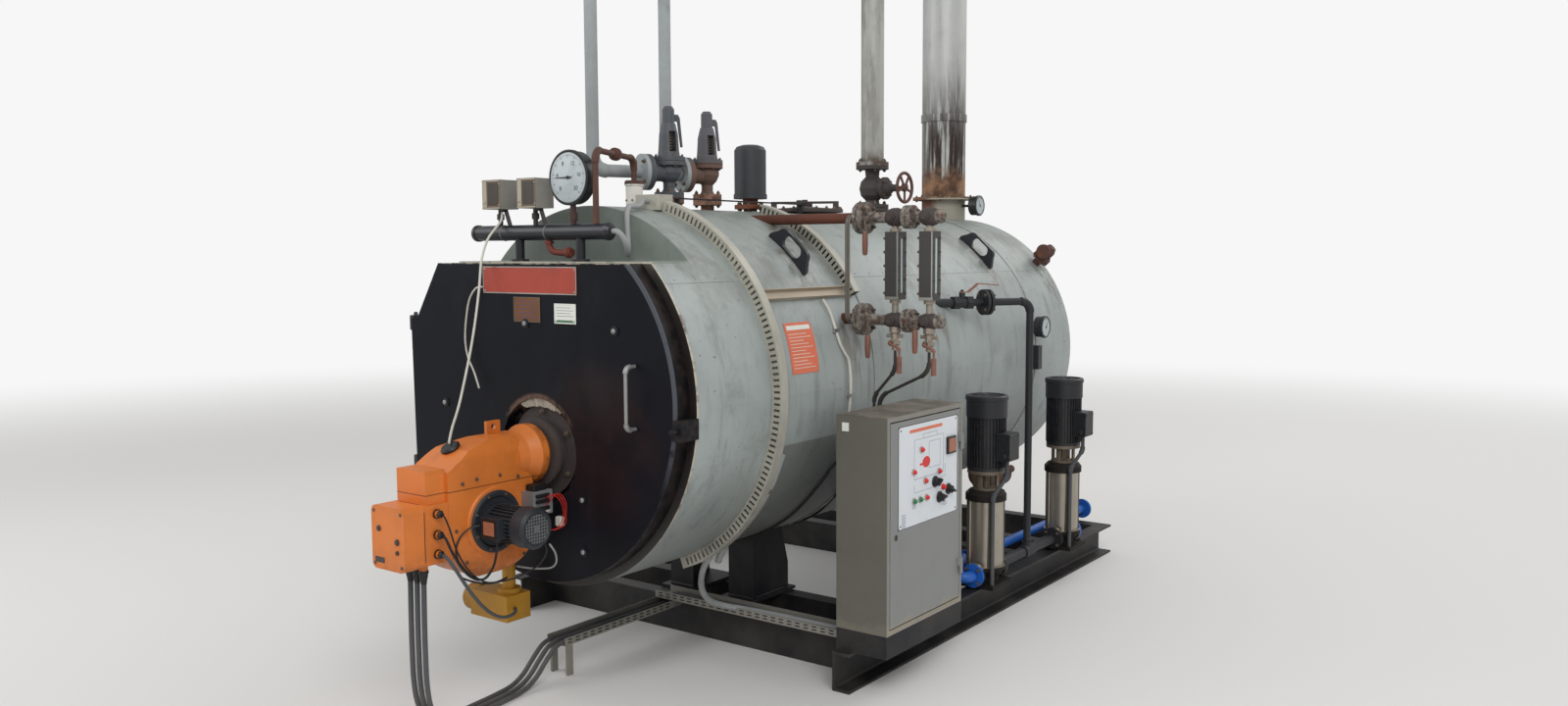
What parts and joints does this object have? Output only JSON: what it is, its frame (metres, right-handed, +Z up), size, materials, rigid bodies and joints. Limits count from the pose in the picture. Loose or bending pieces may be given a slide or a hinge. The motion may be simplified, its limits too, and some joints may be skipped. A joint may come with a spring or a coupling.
{
  "type": "packaged fire-tube steam boiler",
  "caption": "Horizontal clad boiler shell on a channel skid with front burner, valves, level gauges, switch cabinet and two feed pumps.",
  "frame": {"origin": "underside of the front cross member, on the floor, on the boiler axis plane", "axes": "+Z up, +Y along the boiler axis from the burner door to the rear, +X towards the cabinet and pumps"},
  "size_m": [2.0233, 3.895, 3.15],
  "materials": {
    "aluminium_clad": "dull",
    "black_paint": "satin",
    "burner_orange": "gloss",
    "cabinet_grey": "satin",
    "cable_grey": "matt",
    "cast_body": "rough",
    "cladding": "aged, streaked",
    "galvanised": "dull zinc",
    "gas_yellow": "satin",
    "gauge_black": "gloss",
    "grey_conduit": "matt",
    "level_gauge": "satin",
    "lever_orange": "matt",
    "motor_black": "satin",
    "motor_grey": "satin",
    "pale_pipe": "weathered",
    "panel_white": "satin",
    "pipe_blue": "gloss",
    "pump_steel": "brushed",
    "rusty_pipe": "rusted",
    "skid_paint": "worn satin",
    "switch_grey": "satin",
    "valve_blue_grey": "satin",
    "valve_rust": "rusted"
  },
  "bodies": {
    "boiler": {"shell": "cladding", "front_shoulder": "cladding", "front_door": "black_paint", "door_fittings": "galvanised", "rear_head": "cladding", "feet": "skid_paint", "skid_rails": "skid_paint", "cross_members": "skid_paint", "tray_rings": "galvanised", "cladding_bands": "cladding", "junction_box": "grey_conduit", "floor_trays": "galvanised", "burner_mount": "cast_body", "burner_casing": "burner_orange", "burner_air_box": "burner_orange", "burner_motor": "motor_grey", "ignition_unit": "switch_grey", "gas_valve": "gas_yellow", "header": "black_paint", "pressure_switches": "switch_grey", "dial_gauges": "gauge_black", "siphon": "rusty_pipe", "safety_valve_front": "valve_blue_grey", "safety_valve_rear": "valve_rust", "vent_pipes": "pale_pipe", "top_rail": "skid_paint", "level_probe": "motor_grey", "manhole": "cast_body", "steam_pipe": "aluminium_clad", "steam_valve": "cast_body", "flue_neck": "valve_rust", "stack": "aluminium_clad", "level_arms": "rusty_pipe", "level_gauges": "level_gauge", "gauge_cocks": "galvanised", "cock_levers": "lever_orange", "feed_line": "cast_body", "feed_valve": "cast_body", "lifting_lugs": "black_paint", "rear_valve": "rusty_pipe", "blowdown": "rusty_pipe", "cabinet_plinth": "skid_paint", "cabinet_body": "cabinet_grey", "pump_ends": "pump_steel", "pump_motors": "motor_black", "motor_conduits": "grey_conduit", "discharge_manifold": "cast_body", "suction_line": "pipe_blue", "burner_cables": "cable_grey", "switch_cables": "cable_grey"},
    "cabinet_door": {"cabinet_door": "cabinet_grey", "mimic_panel": "panel_white", "panel_controls": "gauge_black"},
    "steam_wheel": {"steam_wheel": "cast_body"},
    "feed_lever": {"feed_lever": "lever_orange"}
  },
  "joints": [
    {"name": "cabinet_door_hinge", "type": "hinge", "parent": "boiler", "child": "cabinet_door", "pos_m": [1.074, 0.342, 0.6], "axis": [0, 0, 1], "range_deg": [0, 110]},
    {"name": "steam_wheel_spin", "type": "hinge", "parent": "boiler", "child": "steam_wheel", "pos_m": [0.19, 1.3875, 1.94], "axis": [1, 0, 0], "continuous": true},
    {"name": "feed_lever_turn", "type": "hinge", "parent": "boiler", "child": "feed_lever", "pos_m": [0.70018, 1.04003, 1.435], "axis": [0, 0, 1], "range_deg": [-90, 0]}
  ]
}
